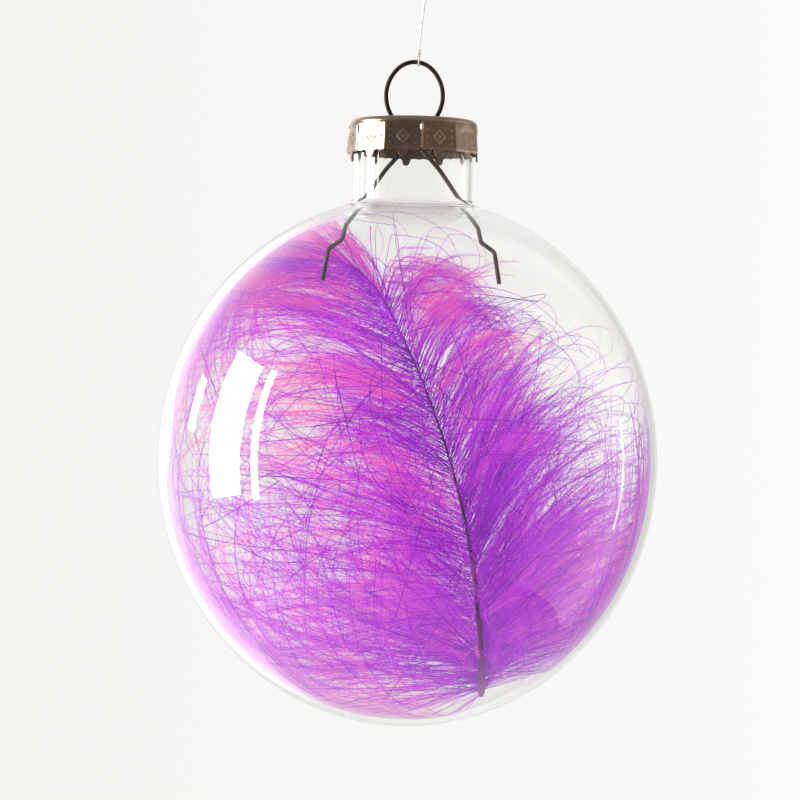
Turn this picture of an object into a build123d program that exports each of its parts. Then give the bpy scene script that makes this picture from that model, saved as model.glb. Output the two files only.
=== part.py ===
"""Glass ball ornament: a clear ball with a neck, a stamped cap with a spring wire hanger, a feather inside,
and the nylon thread that it hangs from. Millimetres, +Z up. The origin is the point at the top of the
thread's loop where a hook or a twig carries it."""

import os
from math import asin, atan2, cos, pi, radians, sin, sqrt, tan

from build123d import *

os.makedirs("parts", exist_ok=True)

# ---- glass ball: a ball slightly taller than wide, with a straight neck
ball_diameter = 80.0
ball_height = 84.8
ball_wall = 0.9
neck_diameter = 19.2
neck_wall = 0.6
neck_length = 13.0
shoulder_fillet = 1.0
mouth_fillet = 0.25

# ---- cap: thin stamped metal, a skirt of panels that ends in pointed lobes
sheet = 0.3
cap_over_neck = 0.35  # gap between the neck and the inside of the skirt, at the top
cap_on_rim = 0.15  # gap between the neck's rim and the inside of the cap's top
cap_skirt = 5.35
skirt_flare = 0.5
cap_corner = 0.9
panels = 11
lobe_depth = 1.15
lobe_width = 1.7
first_rib_angle = 6.8
slot_clearance = 0.15

# ---- hanger: one spring wire, a ring above the cap and two crossed legs below it
wire_diameter = 0.7
ring_half_width = 4.55
ring_half_height = 5.45
ring_top_radius = 3.9
ring_over_cap = 3.96  # height of the ring's middle above the cap's top
ring_end_over_cap = 0.6  # where the ring's round turns into its straight tails
tail_under_cap = 0.7  # how far the tails reach below the cap's top
leg_cross_gap = 0.1  # between the two legs where they cross
leg_cross_under_cap = 3.1
leg_start_gap = 0.06  # between the ring's tail and the leg that goes on from it
leg_bore_gap = 0.25  # between a leg and the rounded lower edge of the neck's bore
leg_splay = 35.0  # degrees from upright where a leg passes that edge
leg_middle_over_edge = 6.3
knee_under_edge = 2.8
ankle_run = (0.5, 2.3)  # out and down from the knee
foot_step = (2.2, 1.6)  # out and down from the ankle
foot_run = (0.85, 5.1)  # out and down to the tip
leg_bends = (1.5, 3.0, 12.0, 1.0, 0.9, 0.9)

# ---- thread: clear nylon, tied round the ring's wire below and in a loop above
thread_diameter = 0.3
thread_length = 30.5
thread_lean = 6.1  # degrees from upright
loop_inner_radius = 2.5
top_knot_radius = 0.5
top_knot_length = 1.2
lower_knot_radius = 0.3
lower_knot_length = 1.6
eye_gap = 0.05
eye_angle = 8.9  # degrees round the ring from its top to where the thread is tied

# ---- feather: a bowed quill with a soft vane on each side
quill_bow_radius = 128.0
quill_base_x = 12.6
quill_base_radius = 1.0
quill_tip_radius = 0.35
quill_tip_z = 25.6
quill_wall_gap = 0.3
vane_thickness = 1.6
vane_gap = 0.2
vane_top_z = 27.0


# ---- places that follow from the sizes above
def along_thread(distance):
    """The point that lies this far down the thread's line from the origin."""
    return Vector(-sin(radians(thread_lean)), 0, -cos(radians(thread_lean))) * distance


thread_radius = thread_diameter / 2
wire_radius = wire_diameter / 2
loop_radius = loop_inner_radius + thread_radius
knot_start = loop_inner_radius * 2 + thread_diameter
thread_start = knot_start + top_knot_length
thread_end = thread_start + thread_length

lower_knot_top = along_thread(thread_end) - Vector(0, 0, eye_gap)
eye_radius = wire_radius + eye_gap + thread_radius
eye_centre = lower_knot_top - Vector(0, 0, lower_knot_length + eye_gap + thread_radius + eye_radius)

axis_x = eye_centre.X - ring_top_radius * sin(radians(eye_angle))
ring_top_z = eye_centre.Z - ring_top_radius * cos(radians(eye_angle)) + ring_top_radius
ring_z = ring_top_z - ring_half_height
cap_top_z = ring_z - ring_over_cap

ball_radius = ball_diameter / 2
neck_radius = neck_diameter / 2
neck_bore_radius = neck_radius - neck_wall
inner_radius = ball_radius - ball_wall
inner_half_height = ball_height / 2 - ball_wall
shoulder_height = ball_height / 2 * sqrt(1 - (neck_radius / ball_radius) ** 2)
neck_top = shoulder_height + neck_length
ball_z = cap_top_z - sheet - cap_on_rim - neck_top

# heights from here on are measured from the ball's middle, on its own axis
front = Plane(origin=(axis_x, 0, ball_z), x_dir=(1, 0, 0), z_dir=(0, -1, 0))
ball_axis = Axis((axis_x, 0, 0), (0, 0, 1))
cap_top = cap_top_z - ball_z
ring_middle = ring_z - ball_z


def place(x, height, y=0.0):
    """A point by its distance from the ball's axis, its height over the ball's middle, and its depth."""
    return (axis_x + x, y, ball_z + height)


def write(piece, label):
    """Names a finished piece and writes it as its own file."""
    piece.part.label = label
    export_step(piece.part, f"parts/{label}.step")


# ---- glass ball
with BuildPart() as glass_ball:
    with BuildSketch(front) as glass_section:
        Ellipse(ball_radius, ball_height / 2)
        with Locations((0, neck_top / 2)):
            Rectangle(neck_diameter, neck_top)
        Ellipse(inner_radius, inner_half_height, mode=Mode.SUBTRACT)
        with Locations((0, neck_top / 2)):
            Rectangle(neck_bore_radius * 2, neck_top, mode=Mode.SUBTRACT)
        with Locations((-ball_diameter, 0)):
            Rectangle(ball_diameter * 2, ball_height * 2, mode=Mode.SUBTRACT)
        corners = glass_section.vertices().filter_by_position(
            Axis.X, neck_bore_radius - 0.01, neck_radius + 0.01
        )
        mouth = corners.group_by(Axis.Y)[-1]
        fillet([c for c in corners if c not in mouth], shoulder_fillet)
        fillet(mouth, mouth_fillet)
    revolve(axis=ball_axis)

# ---- cap
cap_top_radius = neck_radius + cap_over_neck + sheet
cap_rim_radius = cap_top_radius + skirt_flare
skirt_depth = cap_skirt + lobe_depth
panel_width = 2 * pi * cap_rim_radius / panels

ring_side_radius = (ring_half_width**2 + (ring_half_height - ring_top_radius) ** 2 - ring_top_radius**2) / (
    2 * (ring_half_width - ring_top_radius)
)
ring_side_x = ring_side_radius - ring_half_width
ring_join_angle = atan2(ring_half_height - ring_top_radius, ring_side_x)
ring_end_angle = asin((ring_over_cap - ring_end_over_cap) / ring_side_radius)
ring_end_x = ring_side_radius * cos(ring_end_angle) - ring_side_x
tail_drop = ring_end_over_cap + tail_under_cap
tail_end_x = ring_end_x - tail_drop * tan(ring_end_angle)
slot_x = ring_end_x - (ring_end_over_cap + sheet / 2) * tan(ring_end_angle)
slot_length = 2 * (wire_radius / cos(ring_end_angle) + sheet / 2 * tan(ring_end_angle) + slot_clearance)
slot_width = wire_diameter + 2 * slot_clearance

with BuildPart() as cap:
    with BuildSketch(front) as cap_section:
        with BuildLine():
            Polyline(
                (0, cap_top),
                (cap_top_radius, cap_top),
                (cap_rim_radius, cap_top - skirt_depth),
                (cap_rim_radius - sheet, cap_top - skirt_depth),
                (cap_top_radius - sheet, cap_top - sheet),
                (0, cap_top - sheet),
                close=True,
            )
        make_face()
        top_corner = cap_section.vertices().group_by(Axis.Y)[-1].sort_by(Axis.X)[-1]
        fillet(top_corner, cap_corner)
        under_corner = cap_section.vertices().filter_by_position(
            Axis.X, cap_top_radius - sheet - 0.01, cap_top_radius - sheet + 0.01
        )
        fillet(under_corner, cap_corner - sheet)
    revolve(axis=ball_axis)
    for panel in range(panels):
        rib_angle = 360 / panels * panel + first_rib_angle - 90
        outward = Vector(cos(radians(rib_angle)), sin(radians(rib_angle)), 0)
        rib_plane = Plane(
            origin=Vector(*place(0, cap_top - cap_skirt)), x_dir=Vector(0, 0, 1).cross(outward), z_dir=outward
        )
        with BuildSketch(rib_plane):
            Polygon(
                (-(panel_width - lobe_width) / 2, 0),
                (-panel_width / 2, -lobe_depth),
                (-panel_width / 2, -2 * lobe_depth),
                (panel_width / 2, -2 * lobe_depth),
                (panel_width / 2, -lobe_depth),
                ((panel_width - lobe_width) / 2, 0),
                align=None,
            )
        extrude(amount=cap_rim_radius * 1.2, mode=Mode.SUBTRACT)
    with BuildSketch(Plane(place(0, cap_top))):
        with Locations((slot_x, 0), (-slot_x, 0)):
            SlotOverall(slot_length, slot_width)
    extrude(amount=-sheet, mode=Mode.SUBTRACT)

# ---- hanger ring: a round top, two flatter sides tangent to it, and two straight tails through the slots
join_x = ring_side_radius * cos(ring_join_angle) - ring_side_x
join_height = ring_middle + ring_side_radius * sin(ring_join_angle)
ring_end_height = cap_top + ring_end_over_cap
tail_end_height = cap_top - tail_under_cap

with BuildPart() as hanger_ring:
    with BuildLine(front) as ring_path:
        Line((-tail_end_x, tail_end_height), (-ring_end_x, ring_end_height))
        ThreePointArc(
            (-ring_end_x, ring_end_height), (-ring_half_width, ring_middle), (-join_x, join_height)
        )
        ThreePointArc(
            (-join_x, join_height), (0, ring_middle + ring_half_height), (join_x, join_height)
        )
        ThreePointArc(
            (join_x, join_height), (ring_half_width, ring_middle), (ring_end_x, ring_end_height)
        )
        Line((ring_end_x, ring_end_height), (tail_end_x, tail_end_height))
    with BuildSketch(Plane(origin=ring_path.wire() @ 0, z_dir=ring_path.wire() % 0)):
        Circle(wire_radius)
    sweep()

# ---- spring legs: each starts at the ring's tail, crosses the other under the cap, and ends in a stepped foot
tail_run = 0.8
leg_depth = wire_radius + leg_cross_gap / 2
leg_cross_height = cap_top - leg_cross_under_cap
edge_height = inner_half_height * sqrt(1 - (neck_bore_radius / inner_radius) ** 2)
edge_reach = shoulder_fillet + leg_bore_gap + wire_radius
leg_pass_x = neck_bore_radius + shoulder_fillet - edge_reach * cos(radians(leg_splay))
leg_pass_height = edge_height + shoulder_fillet - edge_reach * sin(radians(leg_splay))


def leg_line(over_edge):
    """Where a leg's straight stretch past the neck's lower edge lies, this far over or under the edge."""
    return leg_pass_x - over_edge * tan(radians(leg_splay)), leg_pass_height + over_edge


def spring_leg(side):
    """One leg of the hanger: side is 1 for the leg that ends at +X, and -1 for the other."""
    leg_start_x, leg_start_height, first_bend_x, first_bend_height = (
        value
        for run in (leg_start_gap, tail_run)
        for value in (tail_end_x - run * sin(ring_end_angle), tail_end_height - run * cos(ring_end_angle))
    )
    middle_x, middle_height = leg_line(leg_middle_over_edge)
    x, height = leg_line(-knee_under_edge)
    route = [
        place(-side * leg_start_x, leg_start_height),
        place(-side * first_bend_x, first_bend_height),
        place(0, leg_cross_height, side * leg_depth),
        place(side * middle_x, middle_height, side * leg_depth),
        place(side * x, height, side * leg_depth),
    ]
    for out, down in (ankle_run, foot_step, foot_run):
        x, height = x + out, height - down
        route.append(place(side * x, height, side * leg_depth))
    with BuildPart() as leg:
        with BuildLine() as leg_path:
            FilletPolyline(*route, radius=leg_bends)
        with BuildSketch(Plane(origin=leg_path.wire() @ 0, z_dir=leg_path.wire() % 0)):
            Circle(wire_radius)
        sweep()
    return leg


right_spring_leg = spring_leg(1)
left_spring_leg = spring_leg(-1)

# ---- thread, its two knots, the loop above and the eye round the ring's wire
thread_plane = Plane(origin=along_thread(thread_end), z_dir=along_thread(-1))

with BuildPart(thread_plane) as thread:
    Cylinder(thread_radius, thread_length, align=(Align.CENTER, Align.CENTER, Align.MIN))

with BuildPart(thread_plane.offset(thread_length)) as top_knot:
    Cylinder(top_knot_radius, top_knot_length, align=(Align.CENTER, Align.CENTER, Align.MIN))
    fillet(top_knot.edges().filter_by(GeomType.CIRCLE), top_knot_radius * 0.6)

with BuildPart(Plane(origin=along_thread(loop_inner_radius), z_dir=(0, 1, 0))) as top_loop:
    Torus(loop_radius, thread_radius)

with BuildPart(Plane(origin=lower_knot_top)) as lower_knot:
    Cylinder(lower_knot_radius, lower_knot_length, align=(Align.CENTER, Align.CENTER, Align.MAX))
    fillet(lower_knot.edges().filter_by(GeomType.CIRCLE), lower_knot_radius * 0.3)

wire_direction = (cos(radians(eye_angle)), 0, -sin(radians(eye_angle)))
with BuildPart(Plane(origin=eye_centre, z_dir=wire_direction)) as ring_eye:
    Torus(eye_radius, thread_radius)

# ---- feather quill: a bowed taper that stands near the bottom of the ball and leans to -X at its tip
quill_edge_x = quill_base_x + quill_base_radius + quill_wall_gap / 3
quill_base_height = quill_wall_gap - inner_half_height * sqrt(1 - (quill_edge_x / inner_radius) ** 2)


def quill_x(height, sideways=0.0):
    """The quill's distance from the ball's axis at a height, or that of a line beside it."""
    rise = height - quill_base_height
    radius = quill_bow_radius + sideways
    return quill_base_x - quill_bow_radius + sqrt(radius**2 - rise**2)


quill_middle_z = (quill_base_height + quill_tip_z) / 2

with BuildPart() as feather_quill:
    with BuildLine(front) as quill_path:
        ThreePointArc(
            (quill_x(quill_base_height), quill_base_height),
            (quill_x(quill_middle_z), quill_middle_z),
            (quill_x(quill_tip_z), quill_tip_z),
        )
    with BuildSketch(Plane(origin=quill_path.wire() @ 0, z_dir=quill_path.wire() % 0)):
        Circle(quill_base_radius)
    with BuildSketch(Plane(origin=quill_path.wire() @ 1, z_dir=quill_path.wire() % 1)):
        Circle(quill_tip_radius)
    sweep(multisection=True)

# ---- feather vanes: a soft leaf on each side, clear of the quill, the glass and the hanger's feet
beside = quill_base_radius + vane_gap
vane_start_z = quill_base_height + 3.0


def vane(side, outline):
    """One vane: a leaf between the quill's side and a list of arcs, each given by its middle and its end."""
    sideways = side * beside
    low = (quill_x(vane_start_z, sideways), vane_start_z)
    middle = (quill_x(quill_middle_z, sideways), quill_middle_z)
    high = (quill_x(quill_tip_z, sideways), quill_tip_z)
    with BuildPart() as leaf:
        with BuildSketch(front):
            with BuildLine():
                ThreePointArc(high, middle, low)
                corner = low
                for through, end in outline:
                    ThreePointArc(corner, through, end)
                    corner = end
                Line(corner, high)
            make_face()
        extrude(amount=vane_thickness / 2, both=True)
    return leaf


feather_right_vane = vane(1, [((32.0, -18.0), (36.6, -1.0)), ((24.5, 18.5), (3.0, vane_top_z))])
feather_left_vane = vane(
    -1, [((-8.0, -12.0), (-33.0, 8.0)), ((-29.5, 19.0), (-21.0, vane_top_z)), ((-14.0, 26.2), (-8.0, 26.0))]
)

pieces = {
    "glass_ball": glass_ball,
    "cap": cap,
    "hanger_ring": hanger_ring,
    "left_spring_leg": left_spring_leg,
    "right_spring_leg": right_spring_leg,
    "thread": thread,
    "top_knot": top_knot,
    "top_loop": top_loop,
    "lower_knot": lower_knot,
    "ring_eye": ring_eye,
    "feather_quill": feather_quill,
    "feather_left_vane": feather_left_vane,
    "feather_right_vane": feather_right_vane,
}
for label, piece in pieces.items():
    write(piece, label)

for what, value in (
    ("ring eye centre", tuple(eye_centre)),
    ("ball axis x", axis_x),
    ("ball middle z", ball_z),
    ("cap top z", cap_top_z),
    ("ring middle z", ring_z),
    ("ring top arc centre z", ring_top_z - ring_top_radius),
    ("lower knot top", tuple(lower_knot_top)),
    ("leg start", (tail_end_x, tail_end_height)),
    ("neck top and bore", (neck_top, neck_bore_radius)),
    ("thread ends", (tuple(along_thread(thread_start)), tuple(along_thread(thread_end)))),
):
    print(what, value)
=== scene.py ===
"""Looks of the glass ball ornament: clear ball, stamped cap, sprung wire hanger, feather and nylon thread.

Lengths are millimetres unless a name ends in _m. A place inside the ball is (distance right of its axis, depth
away from the front, height over its middle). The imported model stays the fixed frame.
"""

import logging
from dataclasses import dataclass, field
from enum import Enum
from math import atan2, cos, pi, radians, sin, sqrt, tan

import bpy
import numpy as np
from mathutils import Matrix, Vector


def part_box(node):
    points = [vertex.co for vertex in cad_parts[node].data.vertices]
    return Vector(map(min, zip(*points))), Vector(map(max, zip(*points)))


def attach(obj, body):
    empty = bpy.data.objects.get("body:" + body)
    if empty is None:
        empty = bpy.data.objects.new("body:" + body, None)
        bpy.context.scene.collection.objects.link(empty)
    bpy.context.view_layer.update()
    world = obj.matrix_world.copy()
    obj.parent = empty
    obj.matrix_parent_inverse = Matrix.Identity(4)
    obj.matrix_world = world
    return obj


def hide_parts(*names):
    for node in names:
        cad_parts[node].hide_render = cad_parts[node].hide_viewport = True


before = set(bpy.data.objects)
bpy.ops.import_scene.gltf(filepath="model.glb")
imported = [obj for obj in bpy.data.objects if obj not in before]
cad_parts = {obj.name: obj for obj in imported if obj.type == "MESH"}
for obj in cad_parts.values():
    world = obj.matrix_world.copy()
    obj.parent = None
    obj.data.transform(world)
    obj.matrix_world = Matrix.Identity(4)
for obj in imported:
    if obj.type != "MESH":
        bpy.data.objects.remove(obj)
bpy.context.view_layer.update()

log = logging.getLogger("ornament")
Array = np.ndarray
MM = 0.001
Rates = tuple[float, float, float]


class Side(Enum):
    """The two sides of the feather, as the sign of the distance from its quill."""

    LEFT = -1
    RIGHT = 1


# ---------------------------------------------------------------- shapes


@dataclass
class Shape:
    """Points and faces of one or more closed surfaces, before they become a mesh."""

    points: Array
    quads: Array = field(default_factory=lambda: np.zeros((0, 4), np.int64))
    triangles: Array = field(default_factory=lambda: np.zeros((0, 3), np.int64))
    tone: Array | None = None

    def joined(self, other: "Shape") -> "Shape":
        """Returns both shapes as one, the second one's faces counted on from the first one's points."""
        shift = len(self.points)
        tones = [
            np.zeros(len(s.points)) if s.tone is None else s.tone for s in (self, other)
        ]
        return Shape(
            np.concatenate([self.points, other.points]),
            np.concatenate([self.quads, other.quads + shift]),
            np.concatenate([self.triangles, other.triangles + shift]),
            np.concatenate(tones),
        )

    def build(self, name: str, smooth: bool = True) -> bpy.types.Object:
        """Makes the mesh object, with its place in its points.

        Args:
            name: the piece's name.
            smooth: True to shade the faces as one rounded surface.

        Returns:
            The new object, linked to the scene.
        """
        mesh = bpy.data.meshes.new(name)
        mesh.vertices.add(len(self.points))
        mesh.vertices.foreach_set("co", (self.points * MM).astype(np.float32).ravel())
        corners = np.concatenate([self.quads.ravel(), self.triangles.ravel()])
        mesh.loops.add(len(corners))
        mesh.loops.foreach_set("vertex_index", corners.astype(np.int32))
        quad_starts = np.arange(len(self.quads)) * 4
        triangle_starts = len(self.quads) * 4 + np.arange(len(self.triangles)) * 3
        starts = np.concatenate([quad_starts, triangle_starts]).astype(np.int32)
        mesh.polygons.add(len(starts))
        mesh.polygons.foreach_set("loop_start", starts)
        mesh.polygons.foreach_set("use_smooth", np.full(len(starts), smooth))
        mesh.update(calc_edges=True)
        if self.tone is not None:
            tone = mesh.attributes.new("tone", "FLOAT", "POINT")
            tone.data.foreach_set("value", self.tone.astype(np.float32))
        piece = bpy.data.objects.new(name, mesh)
        bpy.context.scene.collection.objects.link(piece)
        return piece


def unit(vectors: Array) -> Array:
    """Returns the vectors of the last axis at length 1."""
    return vectors / np.maximum(np.linalg.norm(vectors, axis=-1, keepdims=True), 1e-9)


def turns(count: int) -> Array:
    """Returns the angles of that many even steps round a circle, in radians."""
    return np.arange(count) / count * 2 * pi


def middle_of(node: str) -> Array:
    """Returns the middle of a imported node's box, in millimetres."""
    low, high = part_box(node)
    return np.array((low + high) / 2) / MM


def frame_across(along: Array, reference: Array) -> tuple[Array, Array]:
    """Returns two directions square to `along` and to each other, the first one square to `reference` too."""
    across = unit(np.cross(along, reference))
    return across, np.cross(along, across)


def off_line(directions: Array) -> Array:
    """Returns Y as the reference for each direction, or X where the direction itself lies near Y."""
    return np.where(np.abs(directions[:, 1:2]) < 0.7, [[0.0, 1.0, 0.0]], [[1.0, 0.0, 0.0]])


def grid_quads(rows: int, columns: int, closed_rows: bool = False) -> Array:
    """Faces of a grid whose columns close on themselves.

    Args:
        rows: how many rows of points.
        columns: how many points in a row; the last joins the first.
        closed_rows: True if the last row joins the first too, as in a ring.

    Returns:
        Four point numbers for each face.
    """
    row = np.arange(rows if closed_rows else rows - 1)[:, None]
    column = np.arange(columns)[None, :]
    below, beside = (row + 1) % rows, (column + 1) % columns
    corners = (
        row * columns + column,
        row * columns + beside,
        below * columns + beside,
        below * columns + column,
    )
    return np.stack(corners, axis=-1).reshape(-1, 4)


def turned(profile: Array, columns: int, centre_x: float, middle_z: float) -> Shape:
    """Turns an outline round the ball's axis: x = r cos a, y = r sin a, z = height, with a pole at each end.

    Args:
        profile: rows of (radius, height), from one point on the axis to another; radius 0 at both ends.
        columns: how many steps round.
        centre_x: where the axis stands.
        middle_z: the height that the profile's heights are measured from.

    Returns:
        The closed surface. It faces outwards if the profile runs from its bottom up on the outer side.
    """
    angle = turns(columns)
    radius, height = profile[1:-1, 0:1], profile[1:-1, 1:2]
    ring = np.stack(
        [
            centre_x + radius * np.cos(angle),
            radius * np.sin(angle),
            middle_z + height + 0 * angle,
        ],
        axis=-1,
    )
    rows = len(profile) - 2
    poles = np.array([[centre_x, 0, middle_z + profile[i, 1]] for i in (0, -1)])
    step, following = np.arange(columns), (np.arange(columns) + 1) % columns
    first, last = rows * columns, rows * columns + 1
    tail = (rows - 1) * columns
    caps = np.concatenate(
        [
            np.stack([np.full(columns, first), following, step], axis=-1),
            np.stack([np.full(columns, last), tail + step, tail + following], axis=-1),
        ]
    )
    return Shape(
        np.concatenate([ring.reshape(-1, 3), poles]), grid_quads(rows, columns), caps
    )


def rounded(corner: Array, before: Array, after: Array, count: int = 9) -> Array:
    """A rounded corner: (1-t)^2 before + 2t(1-t) corner + t^2 after, for t from 0 to 1."""
    t = np.linspace(0, 1, count)[:, None]
    return (1 - t) ** 2 * before + 2 * t * (1 - t) * corner + t**2 * after


def softened(outline: list[tuple[float, float, float]]) -> Array:
    """An outline of straight runs with its corners rounded.

    Args:
        outline: (radius, height, how far off its rounding starts) for each corner, 0 for a sharp one.

    Returns:
        Rows of (radius, height), with no point twice.
    """
    places = np.array([corner[:2] for corner in outline])
    parts = [places[:1]]
    for index in range(1, len(outline) - 1):
        here, cut = places[index], outline[index][2]
        if cut:
            back = here + unit(places[index - 1] - here) * cut
            ahead = here + unit(places[index + 1] - here) * cut
            parts.append(rounded(here, back, ahead))
        else:
            parts.append(here[None, :])
    parts.append(places[-1:])
    return np.concatenate(parts)


def strands(paths: Array, radii: Array, tone: Array, sides: int = 3) -> Shape:
    """Many thin closed tubes at once: at each path point, a ring of `sides` points at its radius.

    Args:
        paths: points of every strand, as (strand, step, xyz).
        radii: radius at every point, as (strand, step).
        tone: shade at every point, from 0 to 1, as (strand, step).
        sides: points in a ring.

    Returns:
        One shape of all strands, with a flat end on each.
    """
    count, steps = paths.shape[:2]
    along = unit(np.gradient(paths, axis=1))
    chord = unit(paths[:, -1] - paths[:, 0])
    across, other = frame_across(along, off_line(chord)[:, None, :])
    angle = turns(sides)
    ring = across[:, :, None] * np.cos(angle)[:, None] + other[:, :, None] * np.sin(angle)[:, None]
    points = paths[:, :, None] + ring * radii[:, :, None, None]
    quads = grid_quads(steps, sides)
    firsts = np.arange(count)[:, None, None] * steps * sides
    side = np.arange(1, sides - 1)
    fan = np.stack([np.zeros_like(side), side + 1, side], axis=-1)
    ends = np.concatenate([fan, fan[:, ::-1] + (steps - 1) * sides])
    return Shape(
        points.reshape(-1, 3),
        (quads[None] + firsts).reshape(-1, 4),
        (ends[None] + firsts).reshape(-1, 3),
        np.repeat(tone.reshape(-1), sides),
    )


def spikes(roots: Array, directions: Array, lengths: Array, width: float, tone: Array) -> Shape:
    """Many tapered hairs at once: each is a three-sided spike from its root to root + direction x length.

    Args:
        roots: where each starts, as (hair, xyz).
        directions: unit vectors, as (hair, xyz).
        lengths: one length each.
        width: radius at the root.
        tone: shade of each, from 0 to 1.

    Returns:
        One shape of all the hairs, each closed by its base.
    """
    across, other = frame_across(directions, off_line(directions))
    angle = turns(3)
    ring = across[:, None] * np.cos(angle)[:, None] + other[:, None] * np.sin(angle)[:, None]
    base = roots[:, None] + ring * width
    tips = (roots + directions * lengths[:, None])[:, None]
    points = np.concatenate([base, tips], axis=1)
    faces = np.array([[0, 1, 3], [1, 2, 3], [2, 0, 3], [0, 2, 1]])
    firsts = np.arange(len(roots))[:, None, None] * 4
    return Shape(
        points.reshape(-1, 3), triangles=(faces + firsts).reshape(-1, 3), tone=np.repeat(tone, 4)
    )


# ---------------------------------------------------------------- finishes


class Board:
    """The nodes of one new material or world, with short ways to add and link them."""

    def __init__(self, owner: bpy.types.ID, output: str = "OutputMaterial") -> None:
        """Empties the owner's nodes and adds its output.

        Args:
            owner: a new material or world.
            output: the output node's type without its "ShaderNode" start.
        """
        owner.use_nodes = True
        self.owner = owner
        self.tree = owner.node_tree
        self.tree.nodes.clear()
        self.output = self.tree.nodes.new("ShaderNode" + output)

    def feed(self, socket: bpy.types.NodeSocket, value: object) -> None:
        """Links a socket to another socket, or gives it a value."""
        if isinstance(value, bpy.types.NodeSocket):
            self.tree.links.new(value, socket)
        else:
            socket.default_value = value

    def add(self, kind: str, settings: dict | None = None, **values: object) -> bpy.types.Node:
        """Adds a node.

        Args:
            kind: the node's type without its "ShaderNode" start.
            settings: the node's own options.
            **values: socket values, or sockets to link, by socket name with _ for a space.

        Returns:
            The new node.
        """
        node = self.tree.nodes.new("ShaderNode" + kind)
        for option, value in (settings or {}).items():
            setattr(node, option, value)
        for name, value in values.items():
            self.feed(node.inputs[name.replace("_", " ")], value)
        return node

    def math(self, operation: str, *terms: object) -> bpy.types.NodeSocket:
        """Adds one step of arithmetic on values or sockets, and returns its result."""
        node = self.add("Math", {"operation": operation})
        for socket, term in zip(node.inputs, terms):
            self.feed(socket, term)
        return node.outputs[0]

    def mixed(self, factor: object, first: bpy.types.Node, second: bpy.types.Node) -> bpy.types.Node:
        """Adds a mix of two shaders, 0 for all of the first and 1 for all of the second, and returns it."""
        mix = self.add("MixShader", Fac=factor)
        self.feed(mix.inputs[1], first.outputs[0])
        self.feed(mix.inputs[2], second.outputs[0])
        return mix

    def tone(self) -> bpy.types.NodeSocket:
        """Returns the shade that the piece's mesh carries at each point."""
        return self.add("Attribute", {"attribute_name": "tone"}).outputs["Fac"]

    def ramp(self, factor: bpy.types.NodeSocket, stops: tuple, blend: str = "LINEAR") -> bpy.types.NodeSocket:
        """Adds a colour ramp over a factor, with stops of (position, colour), and returns its colour."""
        node = self.add("ValToRGB", Fac=factor)
        node.color_ramp.interpolation = blend
        elements = node.color_ramp.elements
        while len(elements) < len(stops):
            elements.new(0.5)
        for element, (position, colour) in zip(elements, stops):
            element.position, element.color = position, (*colour, 1)
        return node.outputs["Color"]

    def noise(self, scale: float, detail: float = 3.0, stretch: tuple = (1, 1, 1)) -> bpy.types.NodeSocket:
        """Adds noise on the piece's own coordinates, stretched along an axis, and returns its value."""
        place = self.add("TexCoord").outputs["Object"]
        mapped = self.add("Mapping", Vector=place, Scale=stretch)
        noise = self.add("TexNoise", Vector=mapped.outputs["Vector"], Scale=scale, Detail=detail)
        return noise.outputs["Fac"]

    def spread(self, factor: bpy.types.NodeSocket, low: float, high: float) -> bpy.types.NodeSocket:
        """Maps a factor of 0.3 to 0.7 onto low to high, and returns it."""
        node = self.add("MapRange", Value=factor)
        for name, value in (("From Min", 0.3), ("From Max", 0.7), ("To Min", low), ("To Max", high)):
            node.inputs[name].default_value = value
        return node.outputs["Result"]

    def bump(self, height: bpy.types.NodeSocket, strength: float, distance_m: float) -> bpy.types.NodeSocket:
        """Adds a bump from a height and returns its normal."""
        node = self.add("Bump", Height=height, Strength=strength, Distance=distance_m)
        return node.outputs["Normal"]

    def finish(self, shader: bpy.types.Node) -> bpy.types.ID:
        """Links the last shader to the surface and returns the material or world."""
        self.feed(self.output.inputs["Surface"], shader.outputs[0])
        return self.owner


def new_finish(name: str) -> Board:
    """Starts an empty material of that name."""
    return Board(bpy.data.materials.new(name))


@dataclass(frozen=True)
class ClearGlass:
    """Blown clear glass, with the faintest waviness, that lets light from the studio reach what is inside.

    Light caught between the wall's two faces leaves it after a few bounces, so it never ends in black.
    """

    refraction: float = 1.46
    tint: tuple = (0.985, 0.99, 0.985, 1)
    straight_through: tuple = (0.97, 0.975, 0.97, 1)
    wave_depth_m: float = 0.00004
    trapped_after: float = 6.0

    def material(self) -> bpy.types.Material:
        """Returns the glass."""
        board = new_finish("clear glass")
        wave = board.bump(board.noise(45.0, 2.0), 0.12, self.wave_depth_m)
        glass = board.add(
            "BsdfPrincipled",
            Normal=wave,
            Base_Color=self.tint,
            Roughness=0.0,
            IOR=self.refraction,
            Transmission_Weight=1.0,
        )
        path = board.add("LightPath").outputs
        lighting = board.math("MAXIMUM", path["Is Shadow Ray"], path["Is Diffuse Ray"])
        trapped = board.math("GREATER_THAN", path["Ray Depth"], self.trapped_after)
        clear = board.add("BsdfTransparent", Color=self.straight_through)
        return board.finish(board.mixed(board.math("MAXIMUM", lighting, trapped), glass, clear))


@dataclass(frozen=True)
class StampedMetal:
    """Thin bright metal with a warm tarnish: brown in the hollows, rubbed pale where it stands proud."""

    hollow: tuple = (0.09, 0.058, 0.042)
    plain: tuple = (0.19, 0.145, 0.115)
    proud: tuple = (0.60, 0.43, 0.30)

    def material(self) -> bpy.types.Material:
        """Returns the metal; the piece's tone says how far the surface stands proud."""
        board = new_finish("stamped metal")
        colour = board.ramp(board.tone(), ((0.0, self.hollow), (0.45, self.plain), (1.0, self.proud)))
        grain = board.noise(900.0, 4.0, (1, 1, 0.3))
        shader = board.add(
            "BsdfPrincipled",
            Base_Color=colour,
            Metallic=1.0,
            Roughness=board.spread(grain, 0.16, 0.32),
            Normal=board.bump(grain, 0.15, 0.00002),
        )
        return board.finish(shader)


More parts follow.
